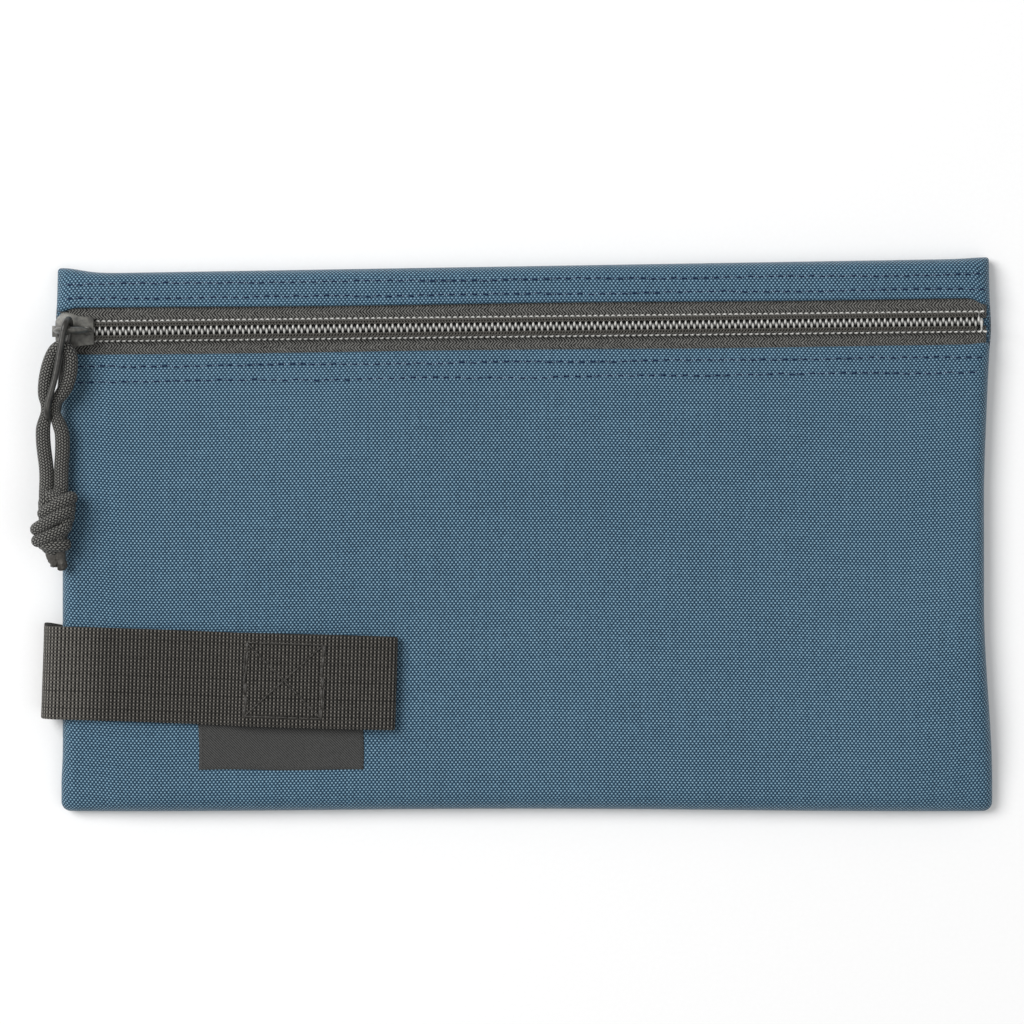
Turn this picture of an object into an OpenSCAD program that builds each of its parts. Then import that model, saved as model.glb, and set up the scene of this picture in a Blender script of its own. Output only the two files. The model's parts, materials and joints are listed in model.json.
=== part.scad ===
// Zippered cash deposit bag: a flat pouch of coated cloth with a coil zip, a corded puller,
// a webbing hand strap sewn round its left edge and a blank woven label.
// Millimetres. The bag lies on its back: +X along the zip towards its closed-off end,
// +Y towards the zip, +Z up out of the front face. The origin is under the middle of the
// whole object without its cord, on the surface that it lies on.

/* [Bag] */
// Width of the bag over its side seams
bag_w = 254; // [180:1:330]
// Height of the bag, bottom edge to top edge
bag_h = 149; // [120:1:220]
// Thickness of the bag as it lies, slightly filled out
bag_t = 8.6; // [7.5:0.1:14]
// Thickness of one layer of coated cloth
cloth_t = 0.8; // [0.5:0.1:1]
// Rounding of the side edges
side_r = 3; // [2.5:0.1:4]
// Rounding of the bottom edge
bottom_r = 5; // [3.5:0.1:6]
// Rounding of the corners, seen from the front
corner_r = 3.2; // [2:0.1:6]

/* [Zip] */
// Distance from the middle of the bag up to the line of the zip
zip_y = 57.9; // [40:0.1:60]
// How much higher the zip and the top edge sit at the right edge than at the left
zip_rise = 2.8; // [0:0.1:4]
// Height of the gap in the cloth that shows the zip
window_h = 12.6; // [10:0.1:16]
// Width of the closed row of coils
chain_w = 6; // [4:0.1:7]
// Height of the coils above their tape
coil_h = 1.9; // [1.4:0.1:2.4]
// Distance from one tooth to the next along one coil
tooth_pitch = 1.6; // [1.2:0.1:2]
// Thickness of the zip tape
tape_t = 0.6; // [0.4:0.1:0.8]
// Width of each of the two zip tapes
tape_w = 13.6; // [10:0.1:16]

/* [Slider] */
// Length of the slider
slider_l = 10.4; // [8:0.1:14]
// Width of the slider at its shoulders
slider_w = 8.9; // [7.5:0.1:11]
// Diameter of the puller's wire
wire_d = 1.7; // [1.2:0.1:2.2]
// Gap inside the wire loop
wire_gap = 4.2; // [4:0.1:6]
// Length of the wire loop, outside to outside
wire_l = 29; // [20:0.5:40]

/* [Cord] */
// Diameter of the pull cord
cord_d = 4; // [3:0.1:5]

/* [Strap and label] */
// Width of the webbing
web_w = 25.4; // [20:0.1:38]
// Thickness of the webbing
web_t = 1.4; // [1:0.1:2]
// Distance from the left fold of the strap to its right end
web_l = 97.2; // [60:0.1:150]
// How far the strap stands out past the bag's left edge
web_out = 5; // [3:0.1:5.3]
// Width of the woven label
label_w = 45; // [20:1:60]
// Height of the woven label
label_h = 25; // [14:1:40]

/* [Hidden] */
$fn = 64;
eps = 0.01;

half_w = bag_w / 2;
half_h = bag_h / 2;
zip_tilt = atan(zip_rise / bag_w);

// Layers of the front, from the outside in: cloth, turned-in hem, zip tape.
hem_z = bag_t - cloth_t;
tape_z = bag_t - 2 * cloth_t;
coil_z = tape_z + coil_h;
free_gap = 0.3;

// The cloth's two edges along the zip, and the rows of stitches beside them.
window_lo = zip_y - window_h / 2;
window_hi = zip_y + window_h / 2;
band_rows = [1.9, 6];
hem_rows = [3.4, 7.3];
hem_depth = 9.5;
hem_side = 1.2;
band_flat = 6.3;
top_r = half_h - window_hi - band_flat;

// Binding tape over the raw edges inside, folded round two layers of cloth.
binding_t = 1.6;
binding_gap = 12;
side_binding_h = 2.8;
side_binding_z = 4.1;
bottom_binding_h = 2.6;
bottom_binding_z = 2.1;

// Stitches.
thread_w = 0.6;
thread_h = 0.35;
stitch_l = 3.1;
stitch_pitch = 4;

// The strap: its two legs, the turned-under end and the box of stitches.
web_tilt = -1.8;
web_reach = web_out * cos(web_tilt) + web_w / 2 * abs(sin(web_tilt));
web_y = -36.7;
web_lo = 0.3;
web_hi = bag_t + 0.4;
web_fold_r = (web_hi + web_t - web_lo) / 2;
web_fold_x = -half_w - web_out + web_fold_r;
web_end_x = -half_w - web_out + web_l;
web_turned = 44;
web_back_end_x = web_end_x - 14;
box_x = [-76, -55];
box_h = 20.1;
tunnel_gap = 0.3;
tunnel_w = web_w + 2 * tunnel_gap;
tunnel_z = web_lo + web_t;

// The middle of the object: half the strap's overhang to the left of the bag's middle, and
// half the top right corner's extra height above it.
top_y = zip_y + (half_h - zip_y) / cos(zip_tilt) + half_w * tan(zip_tilt);
shift_x = web_reach / 2;
shift_y = (half_h - top_y) / 2;

// The label's left edge and its bottom edge.
label_x = -89;
label_y = -63.2;
label_t = 0.35;

// The slider, measured from its own middle on the line of the zip.
slider_x = -122.7;
plate_t = 1.05;
plate_lo_z = tape_z - tape_t - 0.3 - plate_t;
plate_hi_z = coil_z + 0.35;
tail_w = 7.4;
wall_t = 0.55;
shoulder_r = 2.2;
shoulder_l = 4;
narrow_l = 6.4;
nose_w = 3;
nose_l = 0.9;
foot_l = 1.8;
foot_w = 3.6;
lug_x = [-4.9, 3.2];
lug = [1.1, 2, 1.6];
neck_x = -3.5;
neck_w = 1.9;
neck_l = 3;
crown_z = plate_hi_z + plate_t;

// The puller's wire turns about the slider's bar.
wire_r = wire_d / 2;
loop_r = wire_gap / 2 + wire_r;
bar_r = wire_gap / 2 - 0.25;
bar_z = crown_z + loop_r + wire_r + 0.45;
bar_t = 1.7;
hook_x = -124.7;
wire_yaw = -10;
wire_tilt = 4.4;
loop_l = wire_l - 2 * (loop_r + wire_r);

// Half the gap between the two tapes, which the slider's neck runs in.
tape_gap = neck_w / 2 + 0.1;

// The first tooth's place, clear of the neck, and the last tooth's distance from the edge.
coil_x = -121.6;
coil_end = 3;

// The pull cord. Points are round numbers in millimetres from the bag's middle and its back.
cord_sides = 8;
hitch_route = [
    [-131.3, 36.8, 13], [-131.6, 38.5, 13.1], [-131.5, 41, 13.3], [-131.1, 44, 13.6],
    [-130.3, 47, 13.8], [-129.2, 49.7, 14], [-127.8, 51.6, 14.2], [-126.2, 52.4, 14.2],
    [-124.8, 51.8, 14.2], [-124, 49.7, 14], [-124, 47, 13.8], [-124.3, 44, 13.6],
    [-125, 41, 13.3], [-126.2, 38.5, 13.1], [-127.1, 36.8, 13]
];
tail_left = [
    [-132.2, 31, 12.2], [-132.3, 29, 11.8], [-132.1, 26, 11.4], [-131.7, 23, 11.2],
    [-131, 20, 11.2], [-130.6, 17, 11.4], [-130.5, 14, 12], [-130.3, 11.5, 12.6]
];
tail_right = [
    [-126.6, 31, 12.2], [-126.3, 29, 11.8], [-126.2, 26, 11.4], [-126.3, 23, 11.2],
    [-126.5, 20, 11.2], [-126.6, 17, 11.4], [-126.4, 14, 12], [-126.6, 11.5, 12.6]
];
knot_mid = [-128.5, 5.4, 13.3];
tips_route = [[-128, 0.5, 12.6], [-127.7, -2, 12], [-127.4, -4.5, 11.6], [-127.2, -7, 11.5]];

// Which node to draw

// ---------- shared shapes ----------

// Outline of the bag seen from the front, drawn in by an inset and open at the top.
module plan(inset) {
    r = corner_r - inset;
    x = half_w - inset;
    y = half_h - inset;
    translate([-x, -y + r]) square([2 * x, bag_h]);
    translate([-(x - r), -y]) square([2 * (x - r), bag_h]);
    for (s = [-1, 1]) translate([s * (x - r), -y + r]) circle(r);
}

// Section across the bag's width, with round upper edges, drawn in by an inset.
module width_section(inset) {
    r = side_r - inset;
    x = half_w - inset;
    z = bag_t - inset;
    translate([-(x - r), 0]) square([2 * (x - r), z]);
    translate([-x, 0]) square([2 * x, z - r]);
    for (s = [-1, 1]) translate([s * (x - r), z - r]) circle(r);
}

// Section across the bag's height with one round edge, at side 1 the top and at side -1
// the bottom, drawn in by an inset and open at the other edge.
module edge_section(inset, side) {
    r = (side > 0 ? top_r : bottom_r) - inset;
    y = half_h - inset;
    z = bag_t - inset;
    scale([side, 1]) {
        translate([-2 * y, 0]) square([3 * y - r, z]);
        translate([-2 * y, 0]) square([3 * y, z - r]);
        translate([y - r, z - r]) circle(r);
    }
}

// Stretch a section across the height over the whole width.
module along_x() {
    rotate([90, 0, 90]) linear_extrude(bag_w + 20, center = true) children();
}

// Place of the zip and of all that runs along it: turned a little about its middle.
module zip_frame() {
    translate([0, zip_y, 0]) rotate([0, 0, zip_tilt]) translate([0, -zip_y, 0]) children();
}

// The filled-out bag's lower part, drawn in by an inset.
module pouch(inset) {
    intersection() {
        rotate([90, 0, 0]) linear_extrude(2 * bag_h, center = true) width_section(inset);
        along_x() edge_section(inset, -1);
        linear_extrude(bag_t) plan(inset);
    }
}

// Its upper part, whose top edge runs along the zip.
module crest(inset) {
    intersection() {
        rotate([90, 0, 0]) linear_extrude(2 * bag_h, center = true) width_section(inset);
        zip_frame() along_x() edge_section(inset, 1);
    }
}

// All that lies between two lines along the zip.
module between(y0, y1) {
    intersection() {
        children();
        zip_frame() translate([-bag_w, y0, 0]) cube([2 * bag_w, y1 - y0, 2 * bag_t]);
    }
}

// A ribbon that follows the front from side to side, between two insets and two lines.
module ribbon(outer, inner, y0, y1) {
    between(y0, y1) rotate([90, 0, 0]) linear_extrude(2 * bag_h, center = true) difference() {
        width_section(outer);
        width_section(inner);
    }
}

// A turned-in hem under the cloth's edge, from y0 to y1, with its round fold at fold_y.
module hem(y0, y1, fold_y) {
    x = half_w - hem_side;
    zip_frame() {
        translate([-x, y0, tape_z]) cube([2 * x, y1 - y0, 1.1 * cloth_t]);
        translate([0, fold_y, hem_z]) rotate([0, 90, 0])
            cylinder(r = 0.98 * cloth_t, h = 2 * (half_w - side_r), center = true);
    }
}

// Everything above the back panel, or clear of it for the parts that lift.
module above(z) {
    intersection() {
        children();
        translate([0, 0, z + bag_t]) cube([2 * bag_w, 2 * bag_h, 2 * bag_t], center = true);
    }
}

// One stitch lying along X, with its foot on z = 0.
module stitch(length) {
    w = thread_w / 2;
    translate([-length / 2, 0, 0]) rotate([90, 0, 90]) linear_extrude(length)
        polygon([[-w, 0], [w, 0], [w / 2, thread_h], [-w / 2, thread_h]]);
}

// A row of stitches along X from x0 to x1.
module stitch_row(x0, x1, pitch, length) {
    n = floor((x1 - x0) / pitch);
    for (i = [0 : n - 1]) translate([x0 + (i + 0.5) * (x1 - x0) / n, 0, 0]) stitch(length);
}

// A row of stitches from one point of the plane to another.
module stitch_line(a, b, pitch, length) {
    d = b - a;
    translate([a.x, a.y, 0]) rotate([0, 0, atan2(d.y, d.x)])
        stitch_row(0, norm(d), pitch, length);
}

// A tube of d millimetres through the points of a route, closed at both ends.
module tube(route, d) {
    n = len(route);
    ahead = function (i) route[min(i + 1, n - 1)] - route[max(i - 1, 0)];
    unit = function (v) v / norm(v);
    side = function (i) unit(cross(ahead(i), [0, 0, 1]));
    up = function (i) unit(cross(side(i), ahead(i)));
    rings = [
        for (i = [0 : n - 1], k = [0 : cord_sides - 1])
            let (a = (k + 0.5) * 360 / cord_sides, r = d / 2 / cos(180 / cord_sides))
                route[i] + r * (cos(a) * side(i) + sin(a) * up(i))
    ];
    walls = [
        for (i = [0 : n - 2], k = [0 : cord_sides - 1])
            let (a = i * cord_sides + k, b = i * cord_sides + (k + 1) % cord_sides)
                each [[a, b, b + cord_sides], [a, b + cord_sides, a + cord_sides]]
    ];
    start = [for (k = [cord_sides - 1 : -1 : 0]) k];
    end = [for (k = [0 : cord_sides - 1]) (n - 1) * cord_sides + k];
    polyhedron(rings, concat(walls, [start, end]));
}

// ---------- cloth ----------

// Place of the strap: it is turned a little about the bag's left edge.
module strap_frame() {
    translate([-half_w, web_y, 0]) rotate([0, 0, web_tilt]) translate([half_w, 0, 0])
        children();
}

module back_panel() {
    raised_w = tunnel_w + 2 * cloth_t;
    raised_x = web_back_end_x + tunnel_gap + cloth_t + half_w;
    color("#4f687a") difference() {
        union() {
            between(-bag_h, half_h) linear_extrude(cloth_t) plan(0);
            intersection() {
                strap_frame() translate([-half_w - 5, -raised_w / 2, 0])
                    cube([raised_x + 5, raised_w, tunnel_z + cloth_t]);
                linear_extrude(bag_t) plan(cloth_t);
            }
        }
        strap_frame() translate([-half_w - 5, -tunnel_w / 2, -eps])
            cube([raised_x + 5 - cloth_t, tunnel_w, tunnel_z + eps]);
    }
}

module front_panel() {
    y = window_lo - cloth_t;
    color("#4e667a") above(cloth_t) {
        difference() {
            between(-bag_h, y) difference() {
                pouch(0);
                pouch(cloth_t);
            }
            strap_frame() translate([-half_w - 5, -tunnel_w / 2 - cloth_t, 0])
                cube([10, tunnel_w + 2 * cloth_t, tunnel_z + cloth_t]);
        }
        hem(window_lo - hem_depth, y, y);
    }
}

module top_band() {
    y = window_hi + cloth_t;
    color("#576d7d") above(cloth_t + free_gap) {
        between(y, bag_h) difference() {
            crest(0);
            crest(cloth_t);
        }
        hem(y, window_hi + band_flat, y);
    }
}

// Binding tape over the raw seam edges, standing against the inside of the side walls.
module side_binding(side) {
    y0 = -half_h + binding_gap;
    y1 = window_lo - hem_depth - 3;
    translate([side * (half_w - cloth_t - binding_t / 2), (y0 + y1) / 2, side_binding_z])
        cube([binding_t, y1 - y0, side_binding_h], center = true);
}

module side_binding_left() {
    color("#2f3439") side_binding(-1);
}

module side_binding_right() {
    color("#2f3439") side_binding(1);
}

module bottom_binding() {
    color("#2f3439") translate([0, -half_h + cloth_t + binding_t / 2, bottom_binding_z])
        cube([bag_w - 2 * binding_gap - 4, binding_t, bottom_binding_h], center = true);
}

// ---------- zip ----------

// A zip tape from y0 to y1: it follows the front from side to side, and stops short of the
// left edge where the slider parks.
module tape(y0, y1) {
    park_x = -half_w + side_r;
    difference() {
        ribbon(2 * cloth_t, 2 * cloth_t + tape_t, y0, y1);
        zip_frame() translate([park_x - bag_w, zip_y - slider_w / 2 - free_gap, -eps])
            cube([bag_w, slider_w + 2 * free_gap, bag_t]);
    }
}

module zip_tape_lower() {
    color("#3f3e3b") above(cloth_t) tape(zip_y - tape_w, zip_y - tape_gap);
}

module zip_tape_upper() {
    color("#3f3e3b") above(cloth_t + free_gap) tape(zip_y + tape_gap, zip_y + tape_w);
}

// Half a zip's coil, lying on the upper side of the line: loops with round heads that
// reach past the line, joined along their backs, with a channel for the core.
module coil(first_x) {
    reach = 0.85;
    back = chain_w / 2;
    tooth_w = 0.62;
    spine = 0.35;
    n = floor((half_w - coil_end - first_x) / tooth_pitch);
    tooth = function (x) [
        [x - tooth_w / 2, back - spine], [x - tooth_w / 2, 0.25 - reach],
        [x - 0.14, -reach], [x + 0.14, -reach],
        [x + tooth_w / 2, 0.25 - reach], [x + tooth_w / 2, back - spine]
    ];
    points = [for (i = [0 : n - 1]) each tooth(first_x + i * tooth_pitch)];
    x0 = first_x - tooth_w / 2;
    x1 = first_x + (n - 1) * tooth_pitch + tooth_w / 2;
    translate([0, 0, tape_z]) difference() {
        linear_extrude(coil_h) polygon(concat([[x0, back]], points, [[x1, back]]));
        translate([x0 - 1, 0.7, 0.45]) cube([x1 - x0 + 2, 1.55, coil_h - 0.9]);
    }
}

module zip_coil_lower() {
    color("#6a6a66") zip_frame() translate([0, zip_y, 0]) mirror([0, 1, 0]) coil(coil_x);
}

module zip_coil_upper() {
    color("#6a6a66") zip_frame() translate([0, zip_y, 0]) coil(coil_x + tooth_pitch / 2);
}

// The filler cord through the loops of a coil.
module core(side) {
    length = 2 * (-coil_x) - 2;
    translate([0, zip_y + side * 1.475, tape_z + coil_h / 2]) rotate([0, 90, 0])
        cylinder(r = 0.49, h = length, center = true);
}

module zip_core_lower() {
    color("#2c2c2a") zip_frame() core(-1);
}

module zip_core_upper() {
    color("#2c2c2a") zip_frame() core(1);
}

// The chain of thread that sews a coil to its tape: one zigzag line over the coil's back.
module coil_thread(side) {
    w = 0.3;
    n = 2 * floor((-2 * coil_x - 3) / tooth_pitch);
    x = function (i) coil_x + 2 + i * tooth_pitch / 2;
    y = function (i) 2.3 + (i % 2) * 0.45;
    there = [for (i = [0 : n]) [x(i), side * (y(i) - w / 2)]];
    back = [for (i = [n : -1 : 0]) [x(i), side * (y(i) + w / 2)]];
    translate([0, zip_y, coil_z]) linear_extrude(0.2) polygon(concat(there, back));
}

module zip_thread_lower() {
    color("#4a4945") zip_frame() coil_thread(-1);
}

module zip_thread_upper() {
    color("#4a4945") zip_frame() coil_thread(1);
}

// Rows of stitches along the zip, at these distances up the bag.
module zip_rows(rows) {
    x = half_w - side_r;
    for (y = rows) zip_frame() translate([0, y, bag_t])
        stitch_row(-x, x, stitch_pitch, stitch_l);
}

module band_stitches() {
    color("#24272b") zip_rows([for (row = band_rows) window_hi + row]);
}

module hem_stitches() {
    color("#24272b") zip_rows([for (row = hem_rows) window_lo - row]);
}

// ---------- slider and puller ----------

// Outline of the slider from above: broad round shoulders on the left, a straight tail.
module slider_outline(inset) {
    shoulder = slider_w / 2 - inset;
    tail = tail_w / 2 - inset;
    x0 = -slider_l / 2 + inset;
    x1 = slider_l / 2;
    r = shoulder_r;
    broad = x0 + shoulder_l;
    narrow = x0 + narrow_l;
    for (s = [-1, 1]) translate([x0 + r, s * (shoulder - r)]) circle(r);
    translate([x0, r - shoulder]) square([shoulder_l, 2 * (shoulder - r)]);
    polygon([
        [x0 + r, -shoulder], [broad, -shoulder], [narrow, -tail], [x1, -tail],
        [x1, tail], [narrow, tail], [broad, shoulder], [x0 + r, shoulder]
    ]);
}

module slider_body() {
    color("#5b5a56") zip_frame() translate([slider_x, zip_y, 0]) {
        translate([0, 0, plate_lo_z]) linear_extrude(plate_t) slider_outline(0);
        translate([0, 0, plate_hi_z]) linear_extrude(plate_t) {
            slider_outline(0);
            translate([-slider_l / 2 - nose_l, -nose_w / 2]) square([3, nose_w]);
        }
        translate([0, 0, tape_z + 0.3]) linear_extrude(plate_hi_z - tape_z) difference() {
            slider_outline(0);
            slider_outline(wall_t);
            translate([-slider_l / 2 - 1, -slider_w]) square([3, 2 * slider_w]);
            translate([-slider_l, -tail_w / 2 + wall_t])
                square([2 * slider_l, tail_w - 2 * wall_t]);
        }
        translate([neck_x, 0, plate_lo_z]) linear_extrude(plate_hi_z - plate_lo_z + plate_t)
            polygon([[-neck_l / 2, 0], [0, -neck_w / 2], [neck_l / 2, 0], [0, neck_w / 2]]);
        for (x = lug_x) translate([x, -lug.y / 2, crown_z - eps]) cube(lug);
    }
}

// The crown: a bar over the wire, with a foot at each end that the body's lugs hold.
module slider_crown() {
    x0 = -slider_l / 2 - 0.1;
    x1 = slider_l / 2 - 0.4;
    foot = [foot_l, foot_w, bar_z - crown_z];
    color("#64635f") zip_frame() translate([slider_x, 0, 0]) difference() {
        union() {
            intersection() {
                translate([x0, zip_y, bar_z]) rotate([0, 90, 0])
                    cylinder(r = bar_r, h = x1 - x0);
                translate([x0, zip_y - bar_r, bar_z - bar_t / 2])
                    cube([x1 - x0, 2 * bar_r, bar_t]);
            }
            for (x = [x0, x1 - foot_l]) translate([x, zip_y - foot_w / 2, crown_z]) cube(foot);
        }
        for (x = lug_x) translate([x, zip_y - lug.y / 2, crown_z - eps]) cube(lug);
    }
}

// The leaf spring that locks the slider, lying on the body between the crown's feet.
module slider_spring() {
    size = [5.4, 1.8, 0.25];
    color("#8a8a86") zip_frame() translate([slider_x - 3, zip_y - size.y / 2, crown_z])
        cube(size);
}

// The puller: a long loop of wire that goes round the crown's bar.
module puller_wire() {
    color("#4c4b47") zip_frame() translate([hook_x, zip_y, bar_z])
        rotate([wire_tilt, 0, wire_yaw]) rotate([0, 90, 0]) {
            for (s = [-1, 1]) translate([s * loop_r, 0, 0]) rotate([90, 0, 0])
                cylinder(r = wire_r, h = loop_l);
            rotate_extrude(angle = 180) translate([loop_r, 0]) circle(wire_r);
            translate([0, -loop_l, 0]) rotate([0, 0, 180])
                rotate_extrude(angle = 180) translate([loop_r, 0]) circle(wire_r);
        }
}

// ---------- cord ----------

module cord_hitch() {
    color("#3a3936") tube(hitch_route, cord_d);
}

module cord_tail() {
    color("#3a3936") {
        tube(tail_left, cord_d);
        tube(tail_right, cord_d);
    }
}

module cord_knot() {
    color("#3a3936") translate(knot_mid) hull() {
        for (s = [-1, 1]) translate([s * 2.3, s * 1.6, 0]) sphere(r = 4.2, $fn = 20);
        translate([-0.6, 4.9, 0]) sphere(r = 3.4, $fn = 20);
        translate([1, -5, 0]) sphere(r = 3.2, $fn = 20);
    }
}

module cord_tips() {
    color("#4b4945") tube(tips_route, 1.15 * cord_d);
}

// ---------- strap and label ----------

module web_section() {
    x0 = web_fold_x;
    x1 = web_end_x - web_t;
    xs = x1 - web_turned;
    slope = 4;
    mid_z = web_lo + web_fold_r;
    difference() {
        translate([x0, mid_z]) circle(web_fold_r);
        translate([x0, mid_z]) circle(web_fold_r - web_t);
        translate([x0, 0]) square([2 * web_fold_r, 4 * web_fold_r]);
    }
    translate([x0, web_lo]) square([web_back_end_x - x0, web_t]);
    polygon([
        [x0, web_hi], [xs - slope, web_hi], [xs, web_hi + web_t], [x1, web_hi + web_t],
        [x1, web_hi + 2 * web_t], [xs, web_hi + 2 * web_t], [xs - slope, web_hi + web_t],
        [x0, web_hi + web_t]
    ]);
    translate([xs + 1, web_hi]) square([x1 - xs - 1, web_t]);
    intersection() {
        translate([x1, web_hi + web_t]) circle(web_t);
        translate([x1, 0]) square([2 * web_t, 4 * bag_t]);
    }
}

module web_strap() {
    color("#3b3733") strap_frame() translate([0, web_w / 2, 0]) rotate([90, 0, 0])
        linear_extrude(web_w) web_section();
}

// A square of stitches with a cross in it.
module box_stitches() {
    x0 = box_x[0];
    x1 = box_x[1];
    y0 = -box_h / 2;
    y1 = box_h / 2;
    length = 2.1;
    pitch = 2.9;
    inset = 1.2;
    mid = [(x0 + x1) / 2, 0];
    corner = [x0 + inset, y1 - inset];
    clear = 1.8 * (corner - mid) / norm(corner - mid);
    stitch_line([x0, y0 + inset], [x0, y1 - inset], pitch, length);
    stitch_line([x1, y0 + inset], [x1, y1 - inset], pitch, length);
    stitch_line([x0 + inset, y0], [x1 - inset, y0], pitch, length);
    stitch_line([x0 + inset, y1], [x1 - inset, y1], pitch, length);
    stitch_line([x0 + inset, y0 + inset], [x1 - inset, y1 - inset], pitch, length);
    stitch_line(corner, mid + clear, pitch, length);
    stitch_line(mid - clear, [x1 - inset, y0 + inset], pitch, length);
}

module strap_stitches_front() {
    color("#24231f") strap_frame() translate([0, 0, web_hi + 2 * web_t]) box_stitches();
}

module strap_stitches_back() {
    color("#24231f") strap_frame() translate([0, 0, web_lo]) mirror([0, 0, 1]) intersection() {
        box_stitches();
        translate([-half_w, -web_w, 0]) cube([bag_w, 2 * web_w, web_lo]);
    }
}

module label() {
    color("#484844") translate([label_x, label_y, bag_t]) cube([label_w, label_h, label_t]);
}

module label_stitches() {
    inset = 1.2;
    x0 = label_x + inset;
    x1 = label_x + label_w - inset;
    y0 = label_y + inset;
    y1 = web_y - web_w / 2 - 3.2;
    color("#8c8c86") translate([0, 0, bag_t + label_t]) {
        stitch_line([x0, y0 + 1], [x0, y1], 2, 1.4);
        stitch_line([x1, y0 + 1], [x1, y1], 2, 1.4);
        stitch_line([x0 + 1, y0], [x1 - 1, y0], 2, 1.4);
    }
}

module placed() {
    translate([shift_x, shift_y, 0]) children();
}

placed() back_panel();
placed() front_panel();
placed() top_band();
placed() side_binding_left();
placed() side_binding_right();
placed() bottom_binding();
placed() zip_tape_lower();
placed() zip_tape_upper();
placed() zip_coil_lower();
placed() zip_coil_upper();
placed() zip_core_lower();
placed() zip_core_upper();
placed() zip_thread_lower();
placed() zip_thread_upper();
placed() band_stitches();
placed() hem_stitches();
placed() slider_body();
placed() slider_crown();
placed() slider_spring();
placed() puller_wire();
placed() cord_hitch();
placed() cord_tail();
placed() cord_knot();
placed() cord_tips();
placed() web_strap();
placed() strap_stitches_front();
placed() strap_stitches_back();
placed() label();
placed() label_stitches();
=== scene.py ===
import json
import math
import random

import bmesh
import bpy
import numpy as np
from mathutils import Euler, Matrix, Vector


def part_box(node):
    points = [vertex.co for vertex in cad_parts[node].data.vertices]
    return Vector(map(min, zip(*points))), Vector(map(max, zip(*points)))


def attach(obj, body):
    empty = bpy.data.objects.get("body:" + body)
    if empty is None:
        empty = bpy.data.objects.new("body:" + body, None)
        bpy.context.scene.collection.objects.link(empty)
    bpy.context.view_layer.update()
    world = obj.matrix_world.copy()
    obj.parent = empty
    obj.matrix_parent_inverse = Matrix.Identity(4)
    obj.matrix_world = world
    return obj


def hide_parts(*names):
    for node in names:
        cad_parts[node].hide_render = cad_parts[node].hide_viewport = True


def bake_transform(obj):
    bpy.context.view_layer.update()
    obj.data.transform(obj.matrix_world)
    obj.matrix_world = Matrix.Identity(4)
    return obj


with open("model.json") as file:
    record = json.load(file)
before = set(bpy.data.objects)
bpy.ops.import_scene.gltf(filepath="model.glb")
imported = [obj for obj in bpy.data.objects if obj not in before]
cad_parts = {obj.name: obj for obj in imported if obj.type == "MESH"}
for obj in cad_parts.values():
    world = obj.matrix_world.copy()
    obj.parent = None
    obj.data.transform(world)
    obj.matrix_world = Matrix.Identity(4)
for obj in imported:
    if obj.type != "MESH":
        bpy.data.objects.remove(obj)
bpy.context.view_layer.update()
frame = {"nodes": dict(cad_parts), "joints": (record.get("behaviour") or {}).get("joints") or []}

bpy.ops.object.select_all(action="DESELECT")

# ---------- the bag's own measures ----------
# The bag lies on its back. Its pieces are laid out in millimetres from its middle and the table,
# and the frame says where that middle is and how far the zip line tilts.

mm = 0.001
half_w = 127.0
half_h = 74.5
panel_low, panel_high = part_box("front_panel")
middle = np.array([(panel_low.x + panel_high.x) / 2, panel_low.y + half_h * mm, 0.0])
slide_axis = next(j["axis"] for j in frame["joints"] if j["name"] == "slider_slide")
zip_slope = slide_axis[1] / slide_axis[0]
zip_mid = 57.9


def at(points):
    """Points in millimetres from the bag's middle, as metres in the frame."""
    return np.asarray(points, float) * mm + middle


def ease(t):
    """Nought to one with level ends."""
    t = np.clip(t, 0, 1)
    return t * t * (3 - 2 * t)


def zip_y(x):
    return zip_mid + zip_slope * x


# ---------- table, light and camera ----------
# A white sheet lit by a large soft box above and to the left and a weak one to the right, with
# a pale room round it. The camera looks straight down from 0.95 m, on to a view 0.28 m wide.

look_at = at([-3.42, 7.24, 8.0])
view_w = 0.2798
reach = 0.95
sensor = 36

camera = bpy.data.objects.new("camera", bpy.data.cameras.new("camera"))
bpy.context.scene.collection.objects.link(camera)
camera.location = (look_at[0], look_at[1], look_at[2] + reach)
camera.data.sensor_width = sensor
camera.data.lens = sensor * reach / view_w
bpy.context.scene.camera = camera
bpy.context.scene.view_settings.view_transform = "Standard"


def srgb(code, alpha=1.0):
    """A hex colour as linear red, green, blue and alpha."""
    parts = [int(code[i:i + 2], 16) / 255 for i in (0, 2, 4)]
    return [p / 12.92 if p <= 0.04045 else ((p + 0.055) / 1.055) ** 2.4 for p in parts] + [alpha]


def add(tree, kind, inputs=None, out=0, **settings):
    """Add a node with its settings, fill or link its inputs, and give back one of its outputs."""
    made = tree.nodes.new("ShaderNode" + kind)
    for name, value in settings.items():
        setattr(made, name, value)
    for socket, source in (inputs or {}).items():
        if isinstance(source, bpy.types.NodeSocket):
            tree.links.new(source, made.inputs[socket])
        else:
            made.inputs[socket].default_value = source
    return made.outputs[out]


def start(name, **sockets):
    """A new material: its node tree and its shader, with the shader's even values set."""
    made = bpy.data.materials.new(name)
    made.use_nodes = True
    shader = made.node_tree.nodes["Principled BSDF"]
    for socket, value in sockets.items():
        shader.inputs[socket.replace("_", " ")].default_value = value
    return made, made.node_tree, shader


def calc(tree, operation, *values):
    """One step of arithmetic on numbers or sockets."""
    return add(tree, "Math", dict(enumerate(values)), operation=operation)


def span(tree, value, lo=0.0, hi=1.0, to_lo=0.0, to_hi=1.0):
    """A value's run from lo to hi stretched to run from to_lo to to_hi, and held at both ends."""
    return add(tree, "MapRange", {0: value, 1: lo, 2: hi, 3: to_lo, 4: to_hi})


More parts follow.
